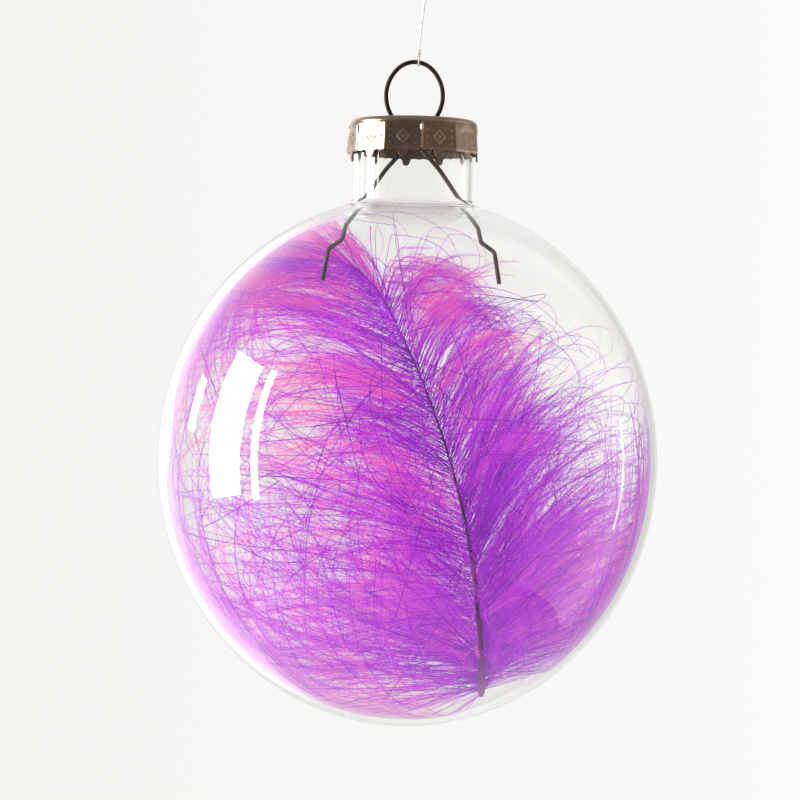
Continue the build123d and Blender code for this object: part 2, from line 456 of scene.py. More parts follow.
@dataclass(frozen=True)
class SpringWire:
    """Dark drawn wire with fine die lines and a few rubbed brown places."""

    dark: tuple = (0.012, 0.010, 0.009)
    rubbed: tuple = (0.06, 0.042, 0.03)

    def material(self) -> bpy.types.Material:
        """Returns the wire."""
        board = new_finish("spring wire")
        wear = board.noise(420.0, 5.0)
        colour = board.ramp(wear, ((0.4, self.dark), (0.7, self.rubbed)))
        shader = board.add(
            "BsdfPrincipled",
            Base_Color=colour,
            Metallic=0.2,
            Roughness=board.spread(wear, 0.42, 0.6),
            Normal=board.bump(board.noise(2500.0), 0.25, 0.00002),
            Specular_IOR_Level=0.2,
        )
        return board.finish(shader)


@dataclass(frozen=True)
class Nylon:
    """Clear drawn nylon, a little milky, with a faint twist of lines along it."""

    colour: tuple = (0.93, 0.94, 0.95, 1)

    def material(self) -> bpy.types.Material:
        """Returns the nylon."""
        board = new_finish("clear nylon")
        lines = board.noise(1800.0, 2.0, (1, 1, 0.15))
        shader = board.add(
            "BsdfPrincipled",
            Base_Color=self.colour,
            Roughness=board.spread(lines, 0.12, 0.3),
            IOR=1.53,
            Normal=board.bump(lines, 0.1, 0.00001),
            Transmission_Weight=0.45,
        )
        return board.finish(shader)


@dataclass(frozen=True)
class DyedHorn:
    """The quill: dyed horn, almost black violet, paler and duller at its hollow base."""

    deep: tuple = (0.13, 0.004, 0.12)
    light: tuple = (0.46, 0.11, 0.50)

    def material(self) -> bpy.types.Material:
        """Returns the horn; the piece's tone is 0 in the shaft and 1 at the hollow base."""
        board = new_finish("dyed horn")
        colour = board.ramp(board.tone(), ((0.0, self.deep), (1.0, self.light)))
        grain = board.noise(700.0, 3.0, (1, 1, 0.1))
        shader = board.add(
            "BsdfPrincipled",
            Base_Color=colour,
            Roughness=board.spread(grain, 0.32, 0.5),
            Normal=board.bump(grain, 0.2, 0.00003),
            Specular_IOR_Level=0.15,
        )
        return board.finish(shader)


@dataclass(frozen=True)
class DyedDown:
    """Barbs and down: thin dyed hairs that glow where light comes through them.

    The emission is a painted glow that stands in for light passed on from hair to hair.
    """

    deep: tuple = (0.24, 0.006, 0.42)
    middle: tuple = (0.52, 0.022, 0.72)
    pale: tuple = (0.82, 0.24, 0.49)
    glow: float = 0.45
    painted_glow_strength: float = 0.66
    patchiness: float = 0.5

    def material(self) -> bpy.types.Material:
        """Returns the down; each hair's tone runs from 0, darkest, to 1, palest."""
        board = new_finish("dyed down")
        level = board.math("SUBTRACT", board.tone(), self.patchiness / 2)
        patchy = board.math("MULTIPLY_ADD", board.noise(160.0, 2.0), self.patchiness, level)
        colour = board.ramp(patchy, ((0.0, self.deep), (0.5, self.middle), (1.0, self.pale)))
        hair = board.add(
            "BsdfPrincipled",
            Base_Color=colour,
            Roughness=0.9,
            Specular_IOR_Level=0.0,
            # painted glow: each hair emits its own colour in place of light passed on from hair to hair
            Emission_Color=colour,
            Emission_Strength=self.painted_glow_strength,
        )
        through = board.add("BsdfTranslucent", Color=colour)
        return board.finish(board.mixed(self.glow, hair, through))


@dataclass(frozen=True)
class StudioWhite:
    """The pale matt floor, with the slightest mottling."""

    colour: tuple = (0.60, 0.595, 0.59)

    def material(self) -> bpy.types.Material:
        """Returns the floor's paint."""
        board = new_finish("studio white")
        duller = tuple(0.985 * c for c in self.colour)
        colour = board.ramp(board.noise(3.0), ((0.3, duller), (0.7, self.colour)))
        return board.finish(board.add("BsdfPrincipled", Base_Color=colour, Roughness=0.9))


def dress(piece: bpy.types.Object, body: str, slot: str, material: bpy.types.Material, *nodes: str) -> None:
    """Gives a piece its finish and body, hides the CAD nodes that it replaces, and logs its body and slot.

    Args:
        piece: a new piece, or a CAD node that keeps its own mesh.
        body: the CAD body that it moves with; a CAD node rides on its own already.
        slot: the name of its material slot, which is only logged.
        material: the finish.
        *nodes: the CAD nodes that it replaces.
    """
    piece.data.materials.clear()
    piece.data.materials.append(material)
    if piece.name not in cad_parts:
        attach(piece, body)
    if nodes:
        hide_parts(*nodes)
    log.info("%s rides on %s, finish %s", piece.name, body, slot)


# ---------------------------------------------------------------- glass ball


@dataclass
class GlassBall:
    """The clear ball with its neck: a turned wall of one thickness in the ball and another in the neck."""

    width: float = 80.0
    height: float = 84.8
    wall: float = 0.9
    neck_radius: float = 9.6
    neck_wall: float = 0.6
    neck_length: float = 13.0
    shoulder_cut: float = 0.77
    inner_shoulder_cut: float = 1.4
    lip_cut: float = 0.25
    columns: int = 224
    arc_points: int = 104

    def __post_init__(self) -> None:
        """Finds the ball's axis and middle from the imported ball."""
        low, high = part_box("glass_ball")
        self.axis_x = (low.x + high.x) / 2 / MM
        self.middle_z = low.z / MM + self.height / 2
        self.inner_radius = self.width / 2 - self.wall
        self.inner_height = self.height / 2 - self.wall
        self.shoulder = self.height / 2 * sqrt(1 - (self.neck_radius / self.width * 2) ** 2)
        self.neck_top = self.shoulder + self.neck_length

    def row_frame(self, places: Array) -> Array:
        """Moves places inside the ball to the shared frame."""
        return places + np.array([self.axis_x, 0.0, self.middle_z])

    def arc_to_neck(self, radius: float, half_height: float, neck: float, cut: float) -> Array:
        """The outline from the ball's bottom into the neck.

        It is the ellipse r = radius cos a, height = half_height sin a, then the rounding into the neck.

        Args:
            radius: the ellipse's half width.
            half_height: its half height.
            neck: the neck's radius.
            cut: how far from their corner the rounding starts.

        Returns:
            Rows of (radius, height).
        """
        end = atan2(sqrt(1 - (neck / radius) ** 2), neck / radius)
        slope = unit(np.array([-radius * sin(end), half_height * cos(end)]))
        corner = np.array([neck, half_height * sin(end)])
        angle = np.linspace(-pi / 2, end - cut / radius, self.arc_points)
        arc = np.stack([radius * np.cos(angle), half_height * np.sin(angle)], axis=-1)
        back, ahead = corner - slope * cut, corner + np.array([0, cut])
        arc = arc[arc[:, 1] < back[1]]
        return np.concatenate([arc, rounded(corner, back, ahead)])

    def build(self) -> bpy.types.Object:
        """Builds the wall as one closed surface: up the outside, over the lip and down the inside."""
        outer = self.arc_to_neck(self.width / 2, self.height / 2, self.neck_radius, self.shoulder_cut)
        bore = self.neck_radius - self.neck_wall
        inner = self.arc_to_neck(self.inner_radius, self.inner_height, bore, self.inner_shoulder_cut)[::-1]
        lip = softened(
            [
                (self.neck_radius, self.neck_top - 2.0, 0),
                (self.neck_radius, self.neck_top, self.lip_cut),
                (bore, self.neck_top, self.lip_cut),
                (bore, self.neck_top - 2.0, 0),
            ]
        )
        profile = np.concatenate([outer, lip, inner])
        profile[[0, -1], 0] = 0.0
        return turned(profile, self.columns, self.axis_x, self.middle_z).build("glass_ball_wall")


# ---------------------------------------------------------------- cap


@dataclass(frozen=True)
class Mark:
    """One pressed mark: how far it stands proud, its half sizes, and how far down the cap it is."""

    proud: float
    across: float = 1.0
    down: float = 1.0
    place: float = 0.0

    def bump(self, across: Array, down: Array) -> Array:
        """A rounded bump: proud x exp(-(across / half size)^2 - ((down - place) / half size)^2)."""
        return self.proud * np.exp(-((across / self.across) ** 2) - ((down - self.place) / self.down) ** 2)


@dataclass
class Cap:
    """The stamped cap: panels parted by ribs, a diamond in each, dots beside the ribs, and pointed lobes."""

    ball: GlassBall
    sheet: float = 0.3
    over_rim: float = 0.45
    top_radius: float = 10.25
    flare: float = 0.5
    skirt: float = 5.35
    lobe_depth: float = 1.15
    lobe_width: float = 1.5
    scallop: float = 0.13
    facet_depth: float = 0.4
    corner: float = 0.9
    panels: int = 11
    first_rib: float = 6.8
    columns: int = 550
    slot_x: float = 3.35
    slot_half_length: float = 0.55
    slot_half_width: float = 0.5
    rib: Mark = Mark(0.12, 0.13)
    rib_head: Mark = Mark(0.18, 0.24, 0.5, 1.75)
    diamond: Mark = Mark(0.09, 0.95, 1.05, 3.3)
    diamond_line: float = 0.15
    centre_dot: Mark = Mark(0.1, 0.22, 0.24, 3.3)
    side_dot: Mark = Mark(0.09, 0.16, 0.17, 3.3)
    side_dot_from_rib: float = 0.85
    side_dot_pitch: float = 1.05
    hem: Mark = Mark(0.04, down=0.18, place=-0.25)
    top_bead: Mark = Mark(0.12, down=0.5, place=7.6)
    tone_level: float = 0.42
    tone_by_relief: float = 3.0
    tone_at_corner: float = 0.2

    def __post_init__(self) -> None:
        """Finds the skirt's middle radius and half the width of a panel there."""
        self.panel_radius = self.top_radius + self.flare / 2
        self.half_panel = radians(360 / self.panels / 2) * self.panel_radius

    def relief(self, across: Array, down: Array) -> Array:
        """How far the skirt stands proud, by the distance across from a rib and down from the top.

        The sum of a ridge on the rib, a long bead at its head, the outline of a diamond with a dot in it, three
        dots each side of the rib and a rolled line over the lobes.
        """
        middle = pi * self.panel_radius / self.panels - np.abs(across)
        skirt = (down > 1.0) & (down < self.skirt - 0.3)
        ridge = self.rib.bump(across, 0 * down) * skirt
        head = self.rib_head.bump(across, down)
        rhomb = np.abs(middle / self.diamond.across) + np.abs((down - self.diamond.place) / self.diamond.down)
        diamond = self.diamond.proud * np.exp(-(((rhomb - 1) / self.diamond_line) ** 2))
        dot = self.centre_dot.bump(middle, down)
        row = np.clip(np.round((down - self.side_dot.place) / self.side_dot_pitch), -1, 1)
        dots = self.side_dot.bump(np.abs(across) - self.side_dot_from_rib, down - row * self.side_dot_pitch)
        line = self.hem.bump(0 * across, down - self.skirt)
        return ridge + head + diamond + dot + dots + line

    def surfaces(self) -> tuple[Array, Array, Array]:
        """The outer and the inner surface on one grid.

        A row is at one distance along the profile, from the axis over the corner and down the skirt; a column
        is at one angle. The rim falls to a lobe in the middle of each panel, and a panel is sunk by facet_depth
        (1 - (distance from its middle / half its width)^2). The inside lies one sheet inwards.

        Returns:
            Both surfaces as (row, column, xyz), and how far each point of the outer one is shaded as proud.
        """
        angle = turns(self.columns)
        panel_angle = 360 / self.panels
        from_rib = np.degrees(angle) + 90 - self.first_rib
        off_rib = (from_rib + panel_angle / 2) % panel_angle - panel_angle / 2
        across = np.radians(off_rib) * self.panel_radius
        from_lobe = self.half_panel - np.abs(across)
        scallop = self.scallop * np.abs(np.sin(pi * across / self.lobe_width))
        lobe = self.lobe_depth * np.sqrt(np.clip(1 - (from_lobe / self.lobe_width * 2) ** 2, 0, 1)) + scallop
        flat = np.linspace(0.15, self.top_radius - self.corner, 22)
        bend = np.linspace(0, pi / 2, 8)[1:]
        skirt = np.linspace(0, 1, 52)[1:]
        radius = np.concatenate([flat, self.top_radius - self.corner * (1 - np.sin(bend))])
        down = np.concatenate([0 * flat, self.corner * (1 - np.cos(bend))])
        skirt_down = self.corner + skirt[:, None] * (self.skirt + lobe - self.corner)
        slope = self.flare / (self.skirt + self.lobe_depth)
        radii = np.concatenate([radius[:, None] + 0 * angle, self.top_radius + slope * skirt_down])
        downs = np.concatenate([down[:, None] + 0 * angle, skirt_down])
        tilt = np.concatenate([0 * flat, bend, np.full(len(skirt), pi / 2)])[:, None]
        proud = self.relief(across[None, :], downs) * np.clip((downs - 0.8) / 0.4, 0, 1)
        rolled = self.top_bead.bump(0 * radii, radii) * (downs < 0.01)
        sunk = 1 - (from_lobe / self.half_panel) ** 2
        facet = self.facet_depth * sunk * np.clip((downs - 0.7) / 1.5, 0, 1)
        layers = []
        for inset, share in ((0.0, 1.0), (self.sheet, 0.4)):
            lift = proud * share - facet - inset
            r = radii + lift * np.sin(tilt)
            h = self.over_rim - downs + lift * np.cos(tilt) + rolled
            layers.append(np.stack([r * np.cos(angle), r * np.sin(angle), self.ball.neck_top + h], axis=-1))
        corner = self.tone_at_corner * (tilt > 0.2) * (tilt < 1.4)
        return *layers, np.clip(self.tone_level + proud * self.tone_by_relief + corner, 0, 1)

    def cut_slots(self, quads: Array, outer: Array, rows: int) -> tuple[Array, list[Array]]:
        """Leaves out the cells over the two slots, and walls the slots between the two surfaces.

        Args:
            quads: the grid's cells, row by row.
            outer: the outer surface's points.
            rows: how many rows of points the grid has.

        Returns:
            The cells that are kept, and the faces of the slots' walls.
        """
        middle = outer[quads].mean(axis=1)
        over_x = np.abs(np.abs(middle[:, 0]) - self.slot_x) < self.slot_half_length
        over_y = np.abs(middle[:, 1]) < self.slot_half_width
        slotted = over_x & over_y & (middle[:, 2] > self.ball.neck_top)
        open_cell = slotted.reshape(rows - 1, self.columns)
        shift = rows * self.columns
        row, column = np.indices(open_cell.shape)
        following = (column + 1) % self.columns
        up, low = row * self.columns, (row + 1) * self.columns
        walls = []
        for first, second, beyond in (
            (up + column, up + following, np.roll(open_cell, 1, axis=0)),
            (low + following, low + column, np.roll(open_cell, -1, axis=0)),
            (low + column, up + column, np.roll(open_cell, 1, axis=1)),
            (up + following, low + following, np.roll(open_cell, -1, axis=1)),
        ):
            edge = open_cell & ~beyond
            a, b = first[edge], second[edge]
            walls.append(np.stack([b, a, a + shift, b + shift], axis=-1))
        return quads[~slotted], walls

    def build(self) -> bpy.types.Object:
        """Builds the cap as one closed shell, its two surfaces joined at the rim and round the slots."""
        outer, inner, proud = self.surfaces()
        rows = len(outer)
        outer, inner, tone = outer.reshape(-1, 3), inner.reshape(-1, 3), proud.ravel()
        quads = grid_quads(rows, self.columns)[:, ::-1]
        kept, walls = self.cut_slots(quads, outer, rows)
        shift, rim = rows * self.columns, (rows - 1) * self.columns
        step, after = np.arange(self.columns), (np.arange(self.columns) + 1) % self.columns
        walls.append(np.stack([rim + after, rim + step, rim + step + shift, rim + after + shift], axis=-1))
        top = self.ball.neck_top + self.over_rim
        centres = np.array([[0, 0, top], [0, 0, top - self.sheet]])
        fans = np.concatenate(
            [
                np.stack([np.full(self.columns, 2 * shift), step, after], axis=-1),
                np.stack([np.full(self.columns, 2 * shift + 1), after + shift, step + shift], axis=-1),
            ]
        )
        shape = Shape(
            self.ball.row_frame(np.concatenate([outer, inner, centres])),
            np.concatenate([kept, (kept + shift)[:, ::-1], *walls]),
            fans,
            np.concatenate([tone, tone * 0.6, [self.tone_level, 0.3]]),
        )
        return shape.build("stamped_cap")


# ---------------------------------------------------------------- nylon thread


@dataclass
class Thread:
    """The nylon thread, with a real knot at each end, a loop to hang by and an eye round the wire."""

    diameter: float = 0.3
    length: float = 30.5
    start: tuple = (-0.69072, 0.0, -6.4632)
    end: tuple = (-3.93177, 0.0, -36.7905)
    end_lead: float = 1.8
    loop_radius: float = 2.65
    top_knot: tuple = (0.62, 0.5)
    top_knot_over_start: float = 0.6
    wire_knot: tuple = (0.8, 0.3)
    eye_radius: float = 0.55
    eye_lean: float = 8.9

    def ends(self) -> tuple[Array, Array, Array]:
        """Both ends of the taut run, and its direction from the upper to the lower one."""
        start, end = np.array(self.start), np.array(self.end)
        return start, end, unit(end - start)

    def line(self) -> bpy.types.Object:
        """Builds the taut run as one smooth spline on its route's points."""
        start, end, down = self.ends()
        route = [start, start + down * self.end_lead, (start + end) / 2, end - down * self.end_lead, end]
        curve = bpy.data.curves.new("thread_line", "CURVE")
        curve.dimensions = "3D"
        spline = curve.splines.new("NURBS")
        spline.points.add(len(route) - 1)
        for point, place in zip(spline.points, route):
            point.co = (*(place * MM), 1)
        spline.order_u = 3
        spline.use_endpoint_u = True
        curve.bevel_depth = self.diameter / 2 * MM
        curve.bevel_resolution = 3
        curve.use_fill_caps = True
        piece = bpy.data.objects.new("thread_line", curve)
        bpy.context.scene.collection.objects.link(piece)
        return piece

    def ring(self, name: str, path: Array) -> bpy.types.Object:
        """Builds a closed tube of the thread's own thickness along a closed path."""
        steps, sides = len(path), 8
        along = unit(np.roll(path, -1, axis=0) - np.roll(path, 1, axis=0))
        across, other = frame_across(along, np.cross(along, path - path.mean(axis=0)))
        angle = turns(sides)
        ring = across[:, None] * np.cos(angle)[:, None] + other[:, None] * np.sin(angle)[:, None]
        points = (path[:, None] + ring * self.diameter / 2).reshape(-1, 3)
        return Shape(points, grid_quads(steps, sides, closed_rows=True)).build(name)

    def knot(self, name: str, centre: Array, axis: Array, half_size: tuple[float, float]) -> bpy.types.Object:
        """Builds a tight knot: the trefoil (sin t + 2 sin 2t, cos t - 2 cos 2t, -sin 3t) along an axis.

        Args:
            name: the piece's name.
            centre: its middle.
            axis: the direction that the thread pulls it in.
            half_size: how far it reaches along the axis, and away from it.

        Returns:
            The knot.
        """
        half_length, radius = half_size
        t = turns(120)
        x, y, z = np.sin(t) + 2 * np.sin(2 * t), np.cos(t) - 2 * np.cos(2 * t), -np.sin(3 * t)
        flat = np.stack([x, y, z], axis=-1)
        side, other = frame_across(axis, np.array([0.0, 1.0, 0.0]))
        room = radius - self.diameter / 2
        path = (
            centre
            + side * (flat[:, 2:3] * room * 0.8)
            + other * (flat[:, 0:1] / 3 * room)
            + axis * (flat[:, 1:2] / 3 * (half_length - self.diameter / 2))
        )
        return self.ring(name, path)

    def hoop(self, name: str, centre: Array, radius: float, normal: tuple) -> bpy.types.Object:
        """Builds a round loop: centre + radius (cos t across + sin t up)."""
        t = turns(96)[:, None]
        across, other = frame_across(unit(np.array(normal)), np.array([0.3, 0.2, 1.0]))
        return self.ring(name, centre + radius * (np.cos(t) * across + np.sin(t) * other))

    def dress(self) -> None:
        start, _, down = self.ends()
        lean = radians(self.eye_lean)
        line = self.line()
        above = start - down * self.top_knot_over_start
        top_knot = self.knot("top_overhand_knot", above, -down, self.top_knot)
        loop = self.hoop("hanging_loop", middle_of("top_loop"), self.loop_radius, (0, 1, 0))
        upright = np.array([0.0, 0.0, 1.0])
        wire_knot = self.knot("wire_knot", middle_of("lower_knot"), upright, self.wire_knot)
        eye = self.hoop("wire_eye", middle_of("ring_eye"), self.eye_radius, (cos(lean), 0, -sin(lean)))
        nylon = Nylon().material()
        for piece, body, node in (
            (line, "thread", "thread"),
            (top_knot, "thread", "top_knot"),
            (loop, "thread", "top_loop"),
            (wire_knot, "knot", "lower_knot"),
            (eye, "eye", "ring_eye"),
        ):
            dress(piece, body, "nylon", nylon, node)


# ---------------------------------------------------------------- feather


@dataclass
class Growth:
    """How one kind of barb grows from the quill. Angles in degrees, rates in degrees per millimetre.

    leaving, turning and reach each hold the value at the lowest root, halfway and at the highest one.
    """

    name: str
    side: Side
    count: int
    roots: tuple[float, float]
    leaving: Rates
    turning: Rates
    reach: Rates
    depth_spread: float
    leaving_spread: float
    seed: int
    shaft: float = 0.07
    hairs: int = 3
    hair_length: float = 1.5
    hair_radius: float = 0.028
    tone: float = 0.5
    clump: int = 8
    ceiling: float = 30.0
    hook: float = 1.0


@dataclass
class Feather:
    """The dyed feather: a bowed quill, two vanes of long barbs, and down that presses against the glass."""

    ball: GlassBall
    quill_foot: tuple = (12.6, -37.9)
    bow_radius: float = 128.0
    shaft_length: float = 66.5
    tip_length: float = 11.0
    tip_turn: float = 0.06
    foot_radius: float = 0.62
    pale_foot: float = 13.0
    wall_gap: float = 0.18
    leg_foot: float = 22.6
    leg_clearance: float = 1.3
    clear_slope: float = 3.0
    clear_from: float = 8.0
    fold: float = 0.35
    turn_back: float = 0.12
    tip_back: float = 1.8
    tip_back_from: float = 56.0
    steps: int = 27
    ceiling_bowl: float = 0.02
    ceiling_spread: float = 2.4
    ceiling_heading: float = 0.05
    ceiling_over_hairs: float = 60.0
    ceiling_over_loose: float = 36.0
    loose_points: int = 40

    def __post_init__(self) -> None:
        """Finds the semi-axes of the wall that the barbs are held inside."""
        inner = [self.ball.inner_radius, self.ball.inner_radius, self.ball.inner_height]
        self.semi = np.array(inner) - self.wall_gap

    def quill_line(self, distance: Array) -> tuple[Array, Array]:
        """The quill's middle line and its lean.

        The lean from upright grows by 1/bow_radius for each millimetre up to the shaft's end and faster after
        it, and the line is the running sum of (-sin lean, cos lean). The tip bows back, clear of the wire's
        feet, by tip_back x (share of the way from tip_back_from)^2.

        Args:
            distance: how far along the quill from its foot.

        Returns:
            Places as (n, 3), and the lean at each in radians.
        """
        fine = np.linspace(0, self.shaft_length + self.tip_length, 1200)
        lean = fine / self.bow_radius + np.clip(fine - self.shaft_length, 0, None) * self.tip_turn
        step = fine[1] - fine[0]
        x = self.quill_foot[0] - np.cumsum(np.sin(lean)) * step
        z = self.quill_foot[1] + np.cumsum(np.cos(lean)) * step
        beyond = np.clip(distance - self.tip_back_from, 0, None) / (fine[-1] - self.tip_back_from)
        back = self.tip_back * beyond**2
        places = np.stack([np.interp(distance, fine, x), back, np.interp(distance, fine, z)], axis=-1)
        return places, np.interp(distance, fine, lean)

    def keep_inside(self, places: Array, heading: Array, ceiling: Array) -> tuple[Array, Array]:
        """Slides places that have passed the wall back onto it, and turns their heading along it.

        The wall is the ellipsoid |p / semi-axes| = 1, a little inside the glass. Under the neck nothing rises
        over ceiling + ceiling_bowl r^2. Round the wire's feet everything stays behind them: depth >=
        leg_clearance, less clear_slope for each millimetre below the feet. What is ahead of that is moved
        behind it, by a share of how far ahead it was; from the side the fluff still ends in a straight edge.

        Args:
            places: places inside the ball.
            heading: where each is going.
            ceiling: the greatest height of each on the ball's axis.

        Returns:
            The places and the headings, put right.
        """
        size = np.linalg.norm(places / self.semi, axis=-1, keepdims=True)
        outside = size > 1
        held = np.where(outside, places / np.maximum(size, 1), places)
        normal = unit(held / self.semi**2)
        outward = np.clip((heading * normal).sum(axis=-1, keepdims=True), 0, None)
        heading = np.where(outside, unit(heading - normal * outward), heading)
        top = ceiling + self.ceiling_bowl * (held[..., 0] ** 2 + held[..., 1] ** 2)
        over = held[..., 2] > top
        held[..., 2] = np.where(over, top, held[..., 2])
        front = self.leg_clearance + np.minimum((held[..., 2] - self.leg_foot) * self.clear_slope, 0)
        ahead = np.where(held[..., 2] > self.clear_from, np.clip(front - held[..., 1], 0, None), 0)
        held[..., 1] += ahead * (1 + self.fold)
        heading[..., 1] = np.where(ahead > 0, np.maximum(heading[..., 1], self.turn_back), heading[..., 1])
        heading[..., 2] = np.where(over, np.minimum(heading[..., 2], self.ceiling_heading), heading[..., 2])
        return held, heading

    def grow(self, kind: Growth) -> tuple[Array, Array]:
        """Grows the barbs of one kind, all together, step by step.

        Each step goes on by reach/steps, turns the heading outwards and down, and is held inside the wall.
        The turning at share t of the way is rate x (hook + 1) t^hook.

        Args:
            kind: how they grow.

        Returns:
            Paths as (barb, step, xyz) in the ball's own places, and one shade for each barb.
        """
        rng = np.random.default_rng(kind.seed)
        count = kind.count
        share = np.sort((np.arange(count) + rng.uniform(0, 1, count)) / count)
        distance = kind.roots[0] + share * (kind.roots[1] - kind.roots[0])
        group = np.arange(count) // kind.clump
        by_group = rng.normal(0, 1, (group.max() + 1, 4))[group]
        own = rng.normal(0, 1, (count, 4))
        places, lean = self.quill_line(distance)
        place_share = np.array([0, 0.5, 1])
        leaving = np.interp(share, place_share, kind.leaving)
        leaving = leaving + kind.leaving_spread * (0.7 * by_group[:, 0] + 0.3 * own[:, 0])
        bend = kind.side.value * np.radians(leaving) - lean
        depth = np.radians(kind.depth_spread) * (0.75 * by_group[:, 1] + 0.4 * own[:, 1])
        level = np.cos(depth)
        heading = np.stack([np.sin(bend) * level, np.sin(depth), np.cos(bend) * level], axis=-1)
        ceiling = kind.ceiling + rng.normal(0, self.ceiling_spread, count)
        rate = np.interp(share, place_share, kind.turning)
        rate = rate * np.clip(1 + 0.4 * by_group[:, 2] + 0.2 * own[:, 2], 0.1, 3)
        reach = np.interp(share, place_share, kind.reach)
        reach = reach * np.clip(1 + 0.15 * by_group[:, 3] + 0.12 * own[:, 3], 0.35, 1.6)
        step = reach / self.steps
        wander = rng.normal(0, 1, (self.steps, count, 3)) * 0.02
        drift = rng.normal(0, 1, (count, 3)) * 0.006
        path = [places]
        for index in range(self.steps):
            late = (kind.hook + 1) * ((index + 0.5) / self.steps) ** kind.hook
            turn = kind.side.value * np.radians(rate * step) * late
            across, up = heading[:, 0].copy(), heading[:, 2].copy()
            heading[:, 0] = across * np.cos(turn) + up * np.sin(turn)
            heading[:, 2] = up * np.cos(turn) - across * np.sin(turn)
            heading = unit(heading + wander[index] + drift * step[:, None])
            places, heading = self.keep_inside(places + heading * step[:, None], heading, ceiling)
            path.append(places)
        shade = np.clip(kind.tone + 0.13 * by_group[:, 0] + 0.13 * own[:, 1], 0.02, 0.98)
        return np.stack(path, axis=1), shade

    def down(self, kind: Growth, paths: Array, shade: Array) -> Shape:
        """Sets hairs along barbs: each leaves its barb at about 45 degrees, alternately on either side.

        The first two steps of a barb stay bare.

        Args:
            kind: how many hairs to a step and how long.
            paths: the barbs.
            shade: the barbs' shades.

        Returns:
            All the hairs as spikes.
        """
        rng = np.random.default_rng(kind.seed + 500)
        in_step = np.arange(kind.hairs * 2)
        bare = 2
        span = paths[:, bare + 1 :] - paths[:, bare:-1]
        along = unit(span)
        fraction = (in_step + 0.5) / len(in_step)
        roots = paths[:, bare:-1, None] + span[:, :, None] * fraction[:, None]
        twist = rng.normal(0, 1, (len(paths), 1, 1, 3))
        across = unit(np.cross(np.broadcast_to(along[:, :, None], roots.shape), twist))
        sign = np.where(in_step % 2 == 0, 1.0, -1.0)[:, None]
        jitter = rng.normal(0, 0.22, roots.shape)
        directions = unit(along[:, :, None] * 0.75 + across * sign * 0.8 + jitter)
        out = np.linspace(0, 1, span.shape[1])[None, :, None]
        swell = np.clip(0.3 + 1.6 * out, 0, 1) * np.clip(3.2 * (1.05 - out), 0.15, 1)
        lengths = kind.hair_length * swell * rng.uniform(0.5, 1.2, roots.shape[:3])
        tone = np.clip(shade[:, None, None] + 0.16 + rng.normal(0, 0.1, roots.shape[:3]), 0, 1)
        tips = (roots + directions * lengths[..., None]).reshape(-1, 3)
        no_ceiling = np.full(len(tips), self.ceiling_over_hairs)
        ends, _ = self.keep_inside(tips, directions.reshape(-1, 3), no_ceiling)
        flat = roots.reshape(-1, 3)
        reach = ends - flat
        lengths = np.linalg.norm(reach, axis=-1)
        return spikes(self.ball.row_frame(flat), unit(reach), lengths, kind.hair_radius, tone.ravel())

    def barbs(self, kind: Growth) -> bpy.types.Object:
        """Builds one kind of barb with its down as one piece."""
        paths, shade = self.grow(kind)
        taper = np.linspace(1.0, 0.4, paths.shape[1])
        radii = kind.shaft * taper[None, :] * np.ones((len(paths), 1))
        dark = np.clip(shade[:, None] - 0.22 + 0.2 * np.linspace(0, 1, paths.shape[1]), 0, 1)
        shape = strands(self.ball.row_frame(paths), radii, dark)
        if kind.hairs:
            shape = shape.joined(self.down(kind, paths, shade))
        return shape.build(kind.name, smooth=False)

    def loose_hairs(self, name: str, count: int, seed: int) -> bpy.types.Object:
        """Builds long single barbs that lie across the feather, each a bent chord held inside the wall.

        A hair is p(t) = start + (end - start) t + bow sin(pi t), with both ends near the wall.
        """
        rng = np.random.default_rng(seed)
        t = np.linspace(0, 1, self.loose_points)[None, :, None]
        ends = unit(rng.normal(0, 1, (2, count, 3)) * [1.0, 0.9, 0.8])
        start, end = (e * self.semi * rng.uniform(0.5, 1.0, (count, 1)) for e in ends)
        middle, _ = self.quill_line(rng.uniform(5, 70, count))
        start = np.where(rng.uniform(0, 1, (count, 1)) < 0.55, middle, start)
        bow = rng.normal(0, 1, (count, 3)) * [7.0, 6.0, 7.0]
        path = start[:, None] + (end - start)[:, None] * t + bow[:, None] * np.sin(pi * t)
        flat = path.reshape(-1, 3)
        held, _ = self.keep_inside(flat, np.zeros_like(flat), np.full(len(flat), self.ceiling_over_loose))
        path = held.reshape(path.shape)
        radii = np.linspace(0.085, 0.04, self.loose_points)[None, :] * rng.uniform(0.7, 1.25, (count, 1))
        tone = rng.uniform(0.0, 0.35, (count, 1)) + 0 * radii
        return strands(self.ball.row_frame(path), radii, tone).build(name)

    def quill(self) -> bpy.types.Object:
        """Builds the quill: a tapering round shaft, drawn in at its foot and closed at both ends.

        At share s of the way up, its radius is foot_radius x 0.85 (0.9 (1-s)^3.2 + 0.28 (1-s)^0.8) + 0.05.
        """
        distance = np.linspace(0, self.shaft_length + self.tip_length, 150)
        places, _ = self.quill_line(distance)
        share = distance / distance[-1]
        radius = self.foot_radius * (0.9 * (1 - share) ** 3.2 + 0.28 * (1 - share) ** 0.8) * 0.85 + 0.05
        radius[:3] *= np.array([0.45, 0.8, 0.95])
        tone = np.clip(1.15 - distance / self.pale_foot, 0, 1)
        shape = strands(self.ball.row_frame(places)[None], radius[None], tone[None], sides=14)
        return shape.build("quill_shaft")

